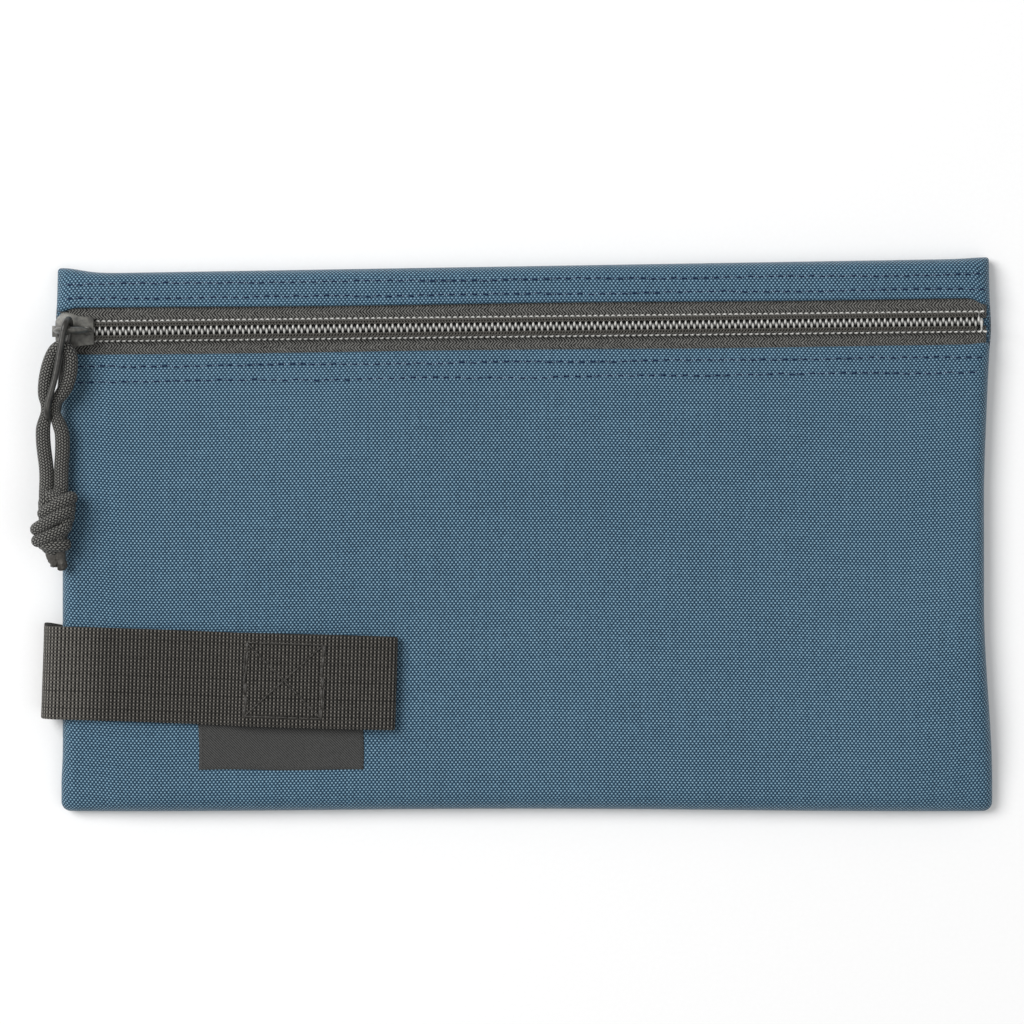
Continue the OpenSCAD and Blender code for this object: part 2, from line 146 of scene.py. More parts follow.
def wave(tree, value, length):
    """A sine wave, from -1 to 1, that repeats at every length."""
    return calc(tree, "SINE", calc(tree, "MULTIPLY", value, 2 * math.pi / length))


def noise(tree, scale, detail=2.0):
    """Noise that stays with its piece, about scale grains to the metre."""
    return add(tree, "TexNoise", {"Vector": add(tree, "TexCoord", out=3), "Scale": scale, "Detail": detail})


def vary(tree, level, part, amount):
    """A level made uneven by amount with a part that runs from 0 to 1."""
    return calc(tree, "MULTIPLY_ADD", calc(tree, "SUBTRACT", part, 0.5), amount, level)


def colour(tree, shader, level, dark, light):
    """Colour the shader from dark to light by a level from 0 to 1."""
    mixed = add(tree, "Mix", {0: level, 6: srgb(dark), 7: srgb(light)}, out=2, data_type="RGBA")
    tree.links.new(mixed, shader.inputs["Base Color"])


def emboss(tree, shader, height, strength, distance):
    """Raise the shader's surface by a height from 0 to 1, to distance in metres."""
    raised = add(tree, "Bump", {"Strength": strength, "Distance": distance, "Height": height})
    tree.links.new(raised, shader.inputs["Normal"])


bpy.ops.mesh.primitive_plane_add(size=6)
table = bpy.context.object
table.name = "table"
paper, tree, shader = start("matt_white_paper", Roughness=0.9)
tone = span(tree, noise(tree, 900.0), to_lo=0.95, to_hi=0.98)
tree.links.new(add(tree, "CombineColor", {0: tone, 1: tone, 2: tone}), shader.inputs["Base Color"])
table.data.materials.append(paper)

for name, stand, size, power in (
    ("soft_box", (-1.5, 0.8, 2.0), 1.7, 55.0),
    ("fill", (0.8, -0.5, 1.7), 1.5, 5.5),
):
    lamp = bpy.data.objects.new(name, bpy.data.lights.new(name, "AREA"))
    bpy.context.scene.collection.objects.link(lamp)
    lamp.location = stand
    lamp.rotation_euler = Vector(stand).to_track_quat("Z", "Y").to_euler()
    lamp.data.shape = "DISK"
    lamp.data.size = size
    lamp.data.energy = power

room = bpy.data.worlds.new("room")
room.use_nodes = True
room.node_tree.nodes["Background"].inputs["Color"].default_value = (1, 1, 1, 1)
room.node_tree.nodes["Background"].inputs["Strength"].default_value = 0.39
bpy.context.scene.world = room

# ---------- pull cord ----------
# Braided nylon cord, 4 mm thick: one length doubled, looped through the puller's wire and tied
# in a knot at its loose end, where the two cut ends are melted.

hitch_route = [
    (-130.4, 36.8, 13), (-130.5, 38.5, 13.1), (-130.3, 41, 13.3), (-129.9, 44, 13.6),
    (-129.2, 47, 13.8), (-128.3, 49.4, 14), (-127.2, 51.2, 14.1), (-125.9, 51.9, 14.1),
    (-124.3, 51.3, 14.1), (-123.4, 49.4, 14), (-123.3, 47, 13.8), (-123.7, 44, 13.6),
    (-124.7, 41, 13.3), (-126.0, 38.5, 13.1), (-127.0, 36.8, 13),
]
tail_left = [
    (-131, 31, 12.2), (-131.1, 29, 11.8), (-131, 26, 11.4), (-130.7, 23, 11.2),
    (-130.3, 20, 11.2), (-130.1, 17, 11.4), (-130.1, 14, 12), (-130.1, 11.5, 12.6),
]
tail_right = [
    (-126.3, 31, 12.2), (-125.9, 29, 11.8), (-125.8, 26, 11.4), (-125.9, 23, 11.2),
    (-126.1, 20, 11.2), (-126.2, 17, 11.4), (-126.1, 14, 12), (-126.3, 11.5, 12.6),
]
knot_mid = np.array([-127.9, 5.4, 13.3])
cord_d = 4.0
turn_rad = 1.78
heart_rad = 3.3


def through(points, step):
    """A smooth route through the points, with a point about every step millimetres."""
    points = np.asarray(points, float)
    padded = np.vstack([2 * points[0] - points[1], points, 2 * points[-1] - points[-2]])
    made = []
    for a, b, c, d in zip(padded, padded[1:], padded[2:], padded[3:]):
        n = max(1, round(np.linalg.norm(c - b) / step))
        for t in np.arange(n) / n:
            made.append(0.5 * (2 * b + (c - a) * t + (2 * a - 5 * b + 4 * c - d) * t ** 2
                               + (3 * b - a - 3 * c + d) * t ** 3))
    return np.array(made + [points[-1]])


def net(points, uv, closed=False):
    """Points, faces and face corners' UVs of a net of points, whose rows may close on themselves."""
    rows, cols = points.shape[:2]
    i, k = (part.ravel() for part in np.mgrid[0:rows - 1, 0:cols if closed else cols - 1])
    after = (k + 1) % cols
    faces = np.stack([i * cols + k, i * cols + after, (i + 1) * cols + after, (i + 1) * cols + k], 1)
    corners = np.stack([uv[i, k], uv[i, k + 1], uv[i + 1, k + 1], uv[i + 1, k]], 1)
    return points.reshape(-1, 3), faces, corners.reshape(-1, 2)


def tube(route, radius, sides=12, flat=1.0, caps=True):
    """Net of a tube along a route, flattened in height by flat: U runs round it, V along it in mm."""
    route = np.asarray(route, float)
    radius = np.broadcast_to(np.asarray(radius, float), len(route))
    ahead = np.gradient(route, axis=0)
    ahead /= np.linalg.norm(ahead, axis=1)[:, None]
    if caps:
        ball = np.array([1.0, 0.8, 0.45])
        width = np.sqrt(1 - ball ** 2)
        route = np.vstack([route[0] - ahead[0] * radius[0] * ball[:, None], route,
                           route[-1] + ahead[-1] * radius[-1] * ball[::-1, None]])
        radius = np.concatenate([radius[0] * width, radius, radius[-1] * width[::-1]])
        ahead = np.vstack([ahead[[0] * 3], ahead, ahead[[-1] * 3]])
    side = np.zeros_like(ahead)
    side[0] = np.cross(ahead[0], (0, 0, 1) if abs(ahead[0][2]) < 0.9 else (0, 1, 0))
    for i in range(1, len(side)):
        side[i] = side[i - 1]
        side[i] -= ahead[i] * (side[i] @ ahead[i])
        side[i] /= np.linalg.norm(side[i])
    side[0] /= np.linalg.norm(side[0])
    up = np.cross(side, ahead)
    turn = np.arange(sides) * 2 * math.pi / sides
    rim = np.cos(turn)[None, :, None] * side[:, None] + np.sin(turn)[None, :, None] * up[:, None] * flat
    points = route[:, None] + rim * radius[:, None, None]
    along = np.concatenate([[0], np.cumsum(np.linalg.norm(np.diff(route, axis=0), axis=1))])
    uv = np.zeros((len(route), sides + 1, 2))
    uv[..., 0] = np.arange(sides + 1)[None] / sides
    uv[..., 1] = along[:, None]
    return net(points, uv, closed=True)


def piece(name, nets, outwards=True):
    """One object from one or more nets, with its doubles merged and smooth shading."""
    mesh = bpy.data.meshes.new(name)
    start_at = np.cumsum([0] + [len(n[0]) for n in nets[:-1]])
    points = np.vstack([n[0] for n in nets])
    faces = np.vstack([n[1] + s for n, s in zip(nets, start_at)])
    mesh.from_pydata(at(points).tolist(), [], faces.tolist())
    layer = mesh.uv_layers.new(name="weave_mm")
    layer.data.foreach_set("uv", np.vstack([n[2] for n in nets]).ravel())
    work = bmesh.new()
    work.from_mesh(mesh)
    bmesh.ops.remove_doubles(work, verts=work.verts, dist=2e-6)
    if outwards:
        bmesh.ops.recalc_face_normals(work, faces=work.faces)
    work.to_mesh(mesh)
    work.free()
    mesh.shade_smooth()
    made = bpy.data.objects.new(name, mesh)
    bpy.context.scene.collection.objects.link(made)
    return made


def place(made, finish, body, slot, *nodes):
    """Give a piece its material and say what it moves with and stands for."""
    made.data.materials.clear()
    made.data.materials.append(finish)
    if body:
        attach(made, body)
    if nodes:
        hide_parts(*nodes)
    return made


def measures(tree):
    """A piece's own measures: the pair of them, and each alone, U across and V along it."""
    uv = add(tree, "UVMap", uv_map="weave_mm")
    parts = tree.nodes.new("ShaderNodeSeparateXYZ")
    tree.links.new(uv, parts.inputs[0])
    return uv, parts.outputs[0], parts.outputs[1]


# Braided nylon sheath, dyed black and a little faded: columns of slanting picks lean left and
# right by turns, dull, with a painted highlight on each pick's crown and painted shade between picks.
braid_columns = 16.0
pick_length = 0.85
braid, tree, shader = start("braided_nylon", Roughness=0.62, Specular_IOR_Level=0.2, Sheen_Weight=0.08)
u, v = measures(tree)[1:]
columns = calc(tree, "MULTIPLY", u, braid_columns)
inside = calc(tree, "FRACT", columns)
lean = calc(tree, "FRACT", calc(tree, "MULTIPLY", calc(tree, "FLOOR", columns), 0.5))
lean = calc(tree, "SUBTRACT", calc(tree, "MULTIPLY", lean, 4.0), 1.0)
slant = calc(tree, "MULTIPLY", calc(tree, "MULTIPLY", inside, lean), 0.55)
picks = calc(tree, "FRACT", calc(tree, "ADD", calc(tree, "DIVIDE", v, pick_length), slant))
waist = calc(tree, "POWER", wave(tree, inside, 2.0), 0.5)
height = calc(tree, "MULTIPLY", wave(tree, picks, 2.0), waist)
# Colour follows the picks' height: painted highlight on the crowns, painted shade in between, plus uneven
# tone.
tone = calc(tree, "MULTIPLY_ADD", noise(tree, 2600.0, 3.0), 0.45, height)
colour(tree, shader, span(tree, tone, 0.5, 1.25), "090909", "908f8a")
emboss(tree, shader, height, 0.9, 0.0004)

loop_route = through(list(reversed(tail_left)) + hitch_route + tail_right, 0.8)
# The two strands are drawn together and squeezed where they pass the end of the wire.
pinch = np.exp(-((loop_route[:, 1] - 35.0) / 3.4) ** 2)
loop_route[:, 0] += 0.42 * pinch * (-129.1 - loop_route[:, 0])
cord = piece("pull_cord", [tube(loop_route, cord_d / 2 * (1 - 0.24 * pinch), sides=20)])
place(cord, braid, None, "cord", "cord_hitch", "cord_tail")
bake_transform(cord)


def ring(centre, slope, lean, wide, deep):
    """An oval turn of cord round the knot: slope is its front run's rise, lean tips it over."""
    turns = np.linspace(0, 2 * math.pi, 40)
    flat = np.stack([wide * np.cos(turns), np.zeros(40), deep * np.sin(turns)], 1)
    tipped = Euler((math.radians(lean), 0, math.radians(slope))).to_matrix()
    return flat @ np.array(tipped).T + np.array(centre)


knot_turns = [
    ring(knot_mid + (1.0, 3.6, 0.2), 30, 0, 4.3, 2.6),
    ring(knot_mid + (-0.2, -0.3, 0.6), 30, 0, 5.1, 2.8),
    ring(knot_mid + (-0.6, -4.1, 0.2), 26, 6, 4.2, 2.5),
    ring(knot_mid + (0.0, -6.8, -0.3), -4, 12, 2.9, 1.9),
    ring(knot_mid + (1.4, 4.8, -0.5), -30, 0, 3.2, 2.0),
    ring(knot_mid + (2.4, -2.6, -0.4), 66, 0, 3.6, 2.1),
    through([(-130.3, 13, 12.6), (-130.0, 9.5, 14.2), (-129.6, 6, 13.0), (-128.8, 2, 11.4)], 0.8),
    through([(-126.6, 13, 12.6), (-126.6, 9.5, 14.0), (-127.0, 6, 12.8), (-127.8, 2, 11.4)], 0.8),
]
knot_heart = through([(-129, 10, 12.5), (-128.8, 6, 13), (-128.6, 1, 12.8), (-128.4, -1.5, 12.2)], 0.8)
knot = piece("cord_knot_tied", [tube(turn, turn_rad, sides=18) for turn in knot_turns]
             + [tube(knot_heart, heart_rad, sides=18)])
place(knot, braid, "cord_end", "cord", "cord_knot")

# Cut and melted nylon: the braid runs together into dark, shiny, uneven stubs with a pale burr.
melted, tree, shader = start("melted_nylon", Roughness=0.5)
lumps = noise(tree, 900.0, 4.0)
colour(tree, shader, lumps, "141312", "66625c")
emboss(tree, shader, lumps, 0.8, 0.0008)

random.seed(4)
stubs = []
for route in (
    [(-129.3, -0.5, 12.9), (-128.9, -3, 12.2), (-128.4, -5.2, 11.8), (-128.1, -6.4, 11.6)],
    [(-127.1, -0.5, 12.5), (-126.8, -3, 12.1), (-126.4, -5.6, 11.6), (-125.9, -7.1, 11.5)],
):
    line = through(route, 0.6)
    size = [1.75 - 0.5 * (i / len(line)) ** 2 + random.uniform(-0.14, 0.2) for i in range(len(line))]
    stubs.append(tube(line, size, sides=14))
tips = piece("cord_tips_melted", stubs)
for vertex in tips.data.vertices:
    ragged = max(0.0, (middle[1] / mm - 4.2 - vertex.co.y / mm) / 3)
    vertex.co += Vector([random.uniform(-1, 1) for _ in range(3)]) * 0.35 * mm * ragged
place(tips, melted, "cord_end", "cord_tip", "cord_tips")

# ---------- slider and puller ----------
# A die-cast zinc slider with its crown, painted dark grey over a smooth casting, and a long
# loop of bent steel wire in the same paint. Handling has polished the paint in places.


def paint(name, dark, light, rough, sheen_gloss):
    """Dark grey paint on metal, a little lighter and smoother where it is rubbed."""
    made, tree, shader = start(name, Metallic=0.35, Coat_Weight=sheen_gloss, Coat_Roughness=0.3)
    spots = noise(tree, 700.0, 5.0)
    colour(tree, shader, span(tree, spots, 0.35, 0.7), dark, light)
    tree.links.new(span(tree, spots, to_lo=rough + 0.08, to_hi=rough - 0.08), shader.inputs["Roughness"])
    emboss(tree, shader, noise(tree, 5000.0), 0.25, 0.0001)
    return made


def rounded_copy(name, node, width):
    """A copy of a CAD piece with its edges rounded, as a casting or a bent sheet has them."""
    made = bpy.data.objects.new(name, frame["nodes"][node].data.copy())
    bpy.context.scene.collection.objects.link(made)
    work = bmesh.new()
    work.from_mesh(made.data)
    bmesh.ops.remove_doubles(work, verts=work.verts, dist=2e-6)
    bmesh.ops.dissolve_limit(work, angle_limit=math.radians(1), verts=work.verts, edges=work.edges)
    work.to_mesh(made.data)
    work.free()
    bpy.ops.object.select_all(action="DESELECT")
    bpy.context.view_layer.objects.active = made
    made.select_set(True)
    shape = made.modifiers.new("rounding", "BEVEL")
    shape.width = width
    shape.segments = 3
    shape.limit_method = "ANGLE"
    shape.angle_limit = math.radians(35)
    bpy.ops.object.modifier_apply(modifier="rounding")
    made.data.shade_smooth()
    bpy.ops.object.shade_smooth_by_angle(angle=math.radians(40))
    made.select_set(False)
    return made


zinc_paint = paint("painted_zinc_casting", "403f3c", "6e6d67", 0.36, 0.45)
wire_paint = paint("painted_steel_wire", "2b2a28", "44433f", 0.36, 0.3)
casting = rounded_copy("slider_casting", "slider_body", 0.28 * mm)
# The top plate swells into two shoulders before its square tail.
for vertex in casting.data.vertices:
    x, y, z = (np.array(vertex.co) - middle) / mm
    if z > 8.9:
        swell = 0.13 * float(ease((-120.4 - x) / 1.6) * ease((x + 127.4) / 1.6))
        vertex.co.y += (y - zip_y(x)) * swell * mm
place(casting, zinc_paint, "slider", "slider_metal", "slider_body")

# The crown is a bridge over the wire, broad and round on top, narrower at its foot on the right.
bar_x = -122.7
crown_side = [(-3.5, 10.2), (-3.5, 12.6), (-2.9, 14.3), (-1.4, 14.9),
              (0.8, 14.8), (2.6, 14.0), (3.6, 12.4), (3.9, 10.2)]
crown_line = through([(bar_x + x, 0, z) for x, z in crown_side], 0.35)
crown_line[:, 1] = zip_y(crown_line[:, 0])
share = np.linspace(0, 1, len(crown_line))
crown_half = 1.75 + 0.35 * np.sin(math.pi * share) - 0.95 * ease((share - 0.62) / 0.38)
crown = piece("slider_crown_cast", [tube(crown_line, crown_half, sides=24, flat=0.48, caps=False)])
place(crown, zinc_paint, "slider", "slider_metal", "slider_crown")

# The wire is one long loop, hooked over the crown's bar, leaning to the left and a little twisted.
wire_rad = 0.88
bend_r = 2.95
run = 21.4
heading = math.radians(-90 - 10.6)
along_wire = np.array([math.cos(heading), math.sin(heading), -0.075])
along_wire /= np.linalg.norm(along_wire)
over = np.cross(along_wire, (0, 0, 1))
over /= np.linalg.norm(over)
bends = np.radians(np.arange(0, 181, 12))
loop = [(-bend_r * math.sin(a), bend_r * math.cos(a)) for a in bends]
loop += [(d, -bend_r) for d in np.linspace(1.2, run - 1.2, 14)]
loop += [(run + bend_r * math.sin(a), -bend_r * math.cos(a)) for a in bends]
loop += [(d, bend_r) for d in np.linspace(run - 1.2, 1.2, 14)]
loop.append(loop[0])
hook_x = -124.3
hook = np.array([hook_x, zip_y(hook_x), 14.55])
wire_line = []
for a, b in loop:
    stand = math.radians(8 + 15 * float(ease((a - 11) / 11)))
    across_wire = np.cross(over, along_wire) * math.cos(stand) + over * math.sin(stand)
    wire_line.append(hook + along_wire * a + across_wire * b)
wire = piece("wire_loop", [tube(wire_line, wire_rad, sides=16, caps=False)])
place(wire, wire_paint, "puller", "wire_metal", "puller_wire")

# The leaf spring that locks the slider is bare rolled spring steel.
spring, tree, shader = start("spring_steel", Metallic=1.0)
drawn_out = add(tree, "Mapping", {0: add(tree, "TexCoord", out=3), 3: (60.0, 2500.0, 2500.0)})
streaks = add(tree, "TexNoise", {"Vector": drawn_out, "Scale": 1.0})
tree.links.new(span(tree, streaks, to_lo=0.25, to_hi=0.45), shader.inputs["Roughness"])
colour(tree, shader, streaks, "6f6e6a", "9b9a94")


def coat(node, finish):
    """Give a CAD piece that shows as it is its material."""
    frame["nodes"][node].data.materials.clear()
    frame["nodes"][node].data.materials.append(finish)


coat("slider_spring", spring)

# ---------- cloth of the bag ----------
# Coated plain-weave polyester, cut as a back, a front and a narrow band over the zip, sewn round
# inside out and turned. Each edge rolls over to its seam, and the edges along the zip are
# turned in and stitched twice. The bag is empty, so it sags a little between its edges.

front_z = 8.6
cloth_t = 0.75
turn_r = 0.8
window_half = 6.3
hem_depth = 9.5
band_depth = 6.3
hem_seams = (-9.7, -13.8)
band_seams = (8.9, 12.9)
foot_corner = 2.6
head_corner = 0.9
side_roll = 4.2


def left_x(y):
    return -126.8 - 1.4 * ease((y - 15) / 45) - 0.4 * ease((-58 - y) / 10)


def right_x(y):
    return 126.2 + 1.4 * ease((y - 10) / 50) + 2.3 * ease((-18 - y) / 50)


def top_y(x):
    return 74.75 + 0.0166 * x + 1.6 * np.exp(-((x + 127) / 7) ** 2) + 0.4 * np.exp(-((x - 127) / 6) ** 2)


def bottom_y(x):
    return -74.6 + 0.35 * np.cos(x * math.pi / 110)


def window_y(x, side):
    """The cloth's edge under (-1) or over (1) the zip; over it, the ends dip to the side seams."""
    if side > 0:
        dip = 1.7 * ease((x - 120.8) / 5.8) ** 2 + 0.9 * ease((-122 - x) / 5) ** 2
    else:
        dip = 0.5 * ease((np.abs(x) - 121) / 6)
    return zip_y(x) + side * (window_half + 0.12 * np.sin(x / 21 + side) - dip)


def seam_z(y):
    """Height of the side seams, which climb where they close off the ends of the zip."""
    return 2.4 + 3.1 * np.exp(-((y - zip_mid) / 9) ** 2)


def rise(d, w):
    """How far the cloth has rolled up from its seam at d, over a roll w wide."""
    return (1 - (1 - np.clip(d / w, 0, 1)) ** 2.3) ** (1 / 2.3)


def sag(x, y):
    """How far the cloth lies below its highest: waves, a hollow middle and thin corners."""
    waves = 0.10 * np.sin(x / 19 + 1.3) * np.sin(y / 23 + 0.4) + 0.05 * np.sin(x / 8.3 - y / 12.0)
    hollow = 0.35 * ease((127 - np.abs(x)) / 60) * ease((y + 74) / 30) * ease((48 - y) / 20)
    corner = np.zeros_like(x * y)
    corners = ((-126, -73, 2.2, 14), (127, -73, 2.2, 14), (-127, 74, 1.3, 8), (127, 76, 1.3, 8))
    for cx, cy, deep, wide in corners:
        corner = corner + deep * np.exp(-((x - cx) ** 2 + (y - cy) ** 2) / wide ** 2)
    return 0.15 + waves + hollow + corner


def pucker(x, y):
    """Small gathers that the stitches draw across the seams and the rows along the zip."""
    side = np.exp(-np.minimum(x - left_x(y), right_x(y) - x) / 3.5) * np.sin(y / 1.9 + 2 * np.sin(y / 13))
    foot = np.exp(-(y - bottom_y(x)) / 4.0) * np.sin(x / 2.3 + 2 * np.sin(x / 17))
    rows = sum(np.exp(-((y - zip_y(x) - row) / 1.1) ** 2) for row in hem_seams + band_seams)
    return 0.10 * side + 0.12 * foot - rows * (0.10 + 0.05 * np.sin(x * math.pi / 2))


def corner_cut(d, r):
    """How far a side draws in at d from the end, for a corner of radius r."""
    return r - np.sqrt(r * r - (r - np.clip(d, 0, r)) ** 2)


def from_side(x, y):
    """Distance in from the side seams, which round off at the corners."""
    corners = corner_cut(y - bottom_y(x), foot_corner) + corner_cut(top_y(x) - y, head_corner)
    return np.minimum(x - left_x(y), right_x(y) - x) - corners


def cloth_z(x, y):
    """Height of the front's outer face."""
    d_side = from_side(x, y)
    d_end = np.where(y < zip_y(x), (y - bottom_y(x)) / 6.0, (top_y(x) - y) / side_roll)
    top = front_z - sag(x, y) + pucker(x, y)
    return seam_z(y) + (top - seam_z(y)) * rise(d_side, side_roll) * rise(d_end, 1.0)


edge_steps = np.array([0, 0.06, 0.22, 0.5, 0.9, 1.4, 2.0, 2.7, 3.5, 4.6, 6, 8])


def across(y, d_end, radius, pull=0.0, count=96):
    """One row of X positions from side seam to side seam, closer together near the seams."""
    cut = corner_cut(d_end, radius)
    lo, hi = left_x(y) + cut + pull, right_x(y) - cut - pull
    inner = np.linspace(0, 1, count)[1:-1]
    first, last = lo + edge_steps[-1], hi - edge_steps[-1]
    return np.concatenate([lo + edge_steps, first + (last - first) * inner, (hi - edge_steps)[::-1]])


def weave_uv(points):
    """The cloth's own measures in mm, across and along, from the middle of the net."""
    steps = np.linalg.norm(np.diff(points, axis=1), axis=2)
    u = np.concatenate([np.zeros((len(points), 1)), np.cumsum(steps, axis=1)], 1)
    steps = np.linalg.norm(np.diff(points, axis=0), axis=2)
    v = np.concatenate([np.zeros((1, points.shape[1])), np.cumsum(steps, axis=0)], 0)
    return np.stack([u - u[:, [u.shape[1] // 2]] + points[:, [u.shape[1] // 2], 0], v], 2)


def front_rows(side):
    """Rows of points of the front (-1) or the band (1), from its seam to its turned-in edge."""
    rows = []
    guess = np.linspace(left_x(0), right_x(0), len(across(0.0, 9, 1)))
    far = bottom_y if side < 0 else top_y
    stretch = list(edge_steps[1:] / 8 * 6) + [8, 10] if side < 0 else list(edge_steps[1:-1] / 6 * side_roll)
    ends = [0.0] + stretch
    near = abs(window_y(0.0, side) - far(0.0)) - turn_r
    ends += list(np.linspace(ends[-1], near, 46 if side < 0 else 6)[1:])
    for d in ends:
        share = ease((d - 12) / (near - 12)) if side < 0 else max(0.0, (d - side_roll) / (near - side_roll))
        slack = window_y(guess, side) + side * turn_r - far(guess) + side * near
        y = far(guess) - side * d + share * slack
        corner = foot_corner if side < 0 else head_corner
        x = np.array([across(v, d, corner)[j] for j, v in enumerate(y)])
        y = far(x) - side * d + share * (window_y(x, side) + side * turn_r - far(x) + side * near)
        rows.append(np.stack([x, y, cloth_z(x, y)], 1))
    edge = rows[-1]
    for angle in np.radians([22, 45, 70, 95, 120, 150, 180]):
        turned = edge.copy()
        turned[:, 1] -= side * turn_r * math.sin(angle)
        turned[:, 2] -= turn_r * (1 - math.cos(angle))
        turned[:, 0] *= 1 - 0.011 * angle / math.pi
        rows.append(turned)
    inner = rows[-1]
    depth = hem_depth if side < 0 else band_depth
    for share in (0.33, 0.66, 1.0):
        under = inner.copy()
        under[:, 1] += side * (depth - turn_r) * share
        rows.append(under)
    return np.array(rows)


def thicken(made, thickness):
    """Give a sheet its thickness on its inner side."""
    bpy.ops.object.select_all(action="DESELECT")
    bpy.context.view_layer.objects.active = made
    made.select_set(True)
    layer = made.modifiers.new("thickness", "SOLIDIFY")
    layer.thickness = thickness * mm
    layer.offset = -1
    bpy.ops.object.modifier_apply(modifier="thickness")
    made.select_set(False)
    return made


def weave(tree, u, v, across_pitch, along_pitch):
    """A plain weave: its crossings from -1 to 1, and how far each thread stands up."""
    crossing = calc(tree, "MULTIPLY", wave(tree, u, 2 * across_pitch), wave(tree, v, 2 * along_pitch))
    return crossing, calc(tree, "POWER", calc(tree, "ABSOLUTE", crossing), 0.6)


warp_pitch = 0.513
weft_pitch = 0.666


def cloth(name, gap, mean, thread):
    """Coated polyester: navy-grey plain weave with threads 0.51 mm and 0.67 mm apart. Rows of pale
    dots are a painted highlight on one set's crossings, the gaps a painted shade; yarns differ a little in
    tone."""
    made, tree, shader = start(name, Roughness=0.58, Specular_IOR_Level=0.3, Sheen_Weight=0.22,
                               Sheen_Roughness=0.3)
    uv, u, v = measures(tree)
    crossing, stand = weave(tree, u, v, warp_pitch, weft_pitch)
    warp, weft = [add(tree, "TexNoise", {"Vector": add(tree, "Mapping", {0: uv, 3: drawn}), "Scale": 1.0})
                  for drawn in ((1.9, 0.05, 1.0), (0.05, 1.5, 1.0))]
    rows = wave(tree, v, 2 * weft_pitch)
    rows = calc(tree, "MULTIPLY", rows, rows)
    level = span(tree, crossing, -1.0)
    fuzz = noise(tree, 2400.0)
    cast = noise(tree, 14.0, 1.0)
    for part, amount in ((warp, 0.18), (weft, 0.16), (fuzz, 0.6), (cast, 0.10), (rows, 0.34)):
        level = vary(tree, level, part, amount)
    # The ramp runs from painted shade in the gaps, through the cloth's own colour, to a painted highlight on
    # the crossings.
    ramp = tree.nodes.new("ShaderNodeValToRGB")
    ramp.color_ramp.elements[0].color = srgb(gap)
    ramp.color_ramp.elements[0].position = 0.10
    ramp.color_ramp.elements[1].color = srgb(thread)
    ramp.color_ramp.elements[1].position = 0.95
    ramp.color_ramp.elements.new(0.56).color = srgb(mean)
    tree.links.new(level, ramp.inputs[0])
    tree.links.new(ramp.outputs[0], shader.inputs["Base Color"])
    emboss(tree, shader, stand, 0.55, 0.00022)
    return made


# Colours: painted shade of the gaps, the cloth's own navy-grey, painted highlight of the threads.
panel_cloth = cloth("coated_polyester", "0b2437", "29536d", "8aacbf")

for name, side, slot, node in (("front_cloth", -1, "cloth_front", "front_panel"),
                               ("band_cloth", 1, "cloth_band", "top_band")):
    rows = front_rows(side)
    if side > 0:
        rows = rows[::-1]
    made = thicken(piece(name, [net(rows, weave_uv(rows))], outwards=False), cloth_t)
    place(made, panel_cloth, "bag" if side < 0 else None, slot, node)

lip_pieces = [bpy.data.objects["band_cloth"]]

# The back is one flat piece, drawn in where the strap's rear leg lies against it.
strap_tilt = math.radians(-1.8)
strap_slope = math.tan(strap_tilt)
strap_y = -36.7
strap_half = 12.7
strap_back_end = -48.8


def back_z(x, y):
    d_side = from_side(x, y)
    d_end = np.minimum(y - bottom_y(x), top_y(x) - y)
    roll = rise(d_side, 3.4) * rise(d_end, 3.6)
    v = y - strap_y - strap_slope * (x + half_w)
    under = ease((strap_half + 2.6 - np.abs(v)) / 1.6) * ease((strap_back_end + 2.8 - x) / 1.8)
    return seam_z(y) * (1 - roll) + (1.85 * under + 0.08 * (1 + np.sin(x / 17) * np.sin(y / 21))) * roll


back = []
back_h = 148.9
for d in list(edge_steps) + list(np.linspace(8, 141, 90)[1:-1]) + list(back_h - edge_steps[::-1]):
    guess = np.linspace(left_x(0), right_x(0), 2 * len(edge_steps) + 128)
    share = d / back_h
    corner = foot_corner if share < 0.5 else head_corner
    for _ in range(2):
        y = bottom_y(guess) + (top_y(guess) - bottom_y(guess)) * share
        end = np.minimum(y - bottom_y(guess), top_y(guess) - y)
        pull = 0.15 - 0.35 * np.exp(-((y - zip_mid) / 9) ** 2)
        x = np.array([across(a, b, corner, c, 130)[j] for j, (a, b, c) in enumerate(zip(y, end, pull))])
        guess = x
    row = np.stack([x, y, back_z(x, y)], 1)
    # Past the seam the cloth turns in; at the ends of the zip it shows as a narrow rim.
    near_zip = np.exp(-((row[[0, -1], 1] - zip_mid) / 7.5) ** 4)
    away = ease(end[[0, -1]] / 6)
    turned = row[[0, -1]] + np.stack([np.array([1, -1]) * (0.25 * away + 1.8 * near_zip), 0 * near_zip,
                                      0.1 * away + 0.95 * near_zip], 1)
    back.append(np.vstack([turned[:1], row, turned[1:]]))
back = np.array(back)[:, ::-1]
made = piece("back_cloth", [net(back, weave_uv(back))], outwards=False)
place(thicken(made, cloth_t), panel_cloth, "bag", "cloth_back", "back_panel")

# Binding tape folded over the raw edges inside: ribbed black polyester.
tape_binding, tree, shader = start("ribbed_binding", Roughness=0.8)
place_of = tree.nodes.new("ShaderNodeSeparateXYZ")
tree.links.new(add(tree, "TexCoord", out=3), place_of.inputs[0])
ribs = wave(tree, calc(tree, "ADD", place_of.outputs[0], place_of.outputs[1]), 0.7 * mm)
colour(tree, shader, span(tree, ribs, -1.0), "1f2225", "3f444a")
emboss(tree, shader, ribs, 0.5, 0.0002)

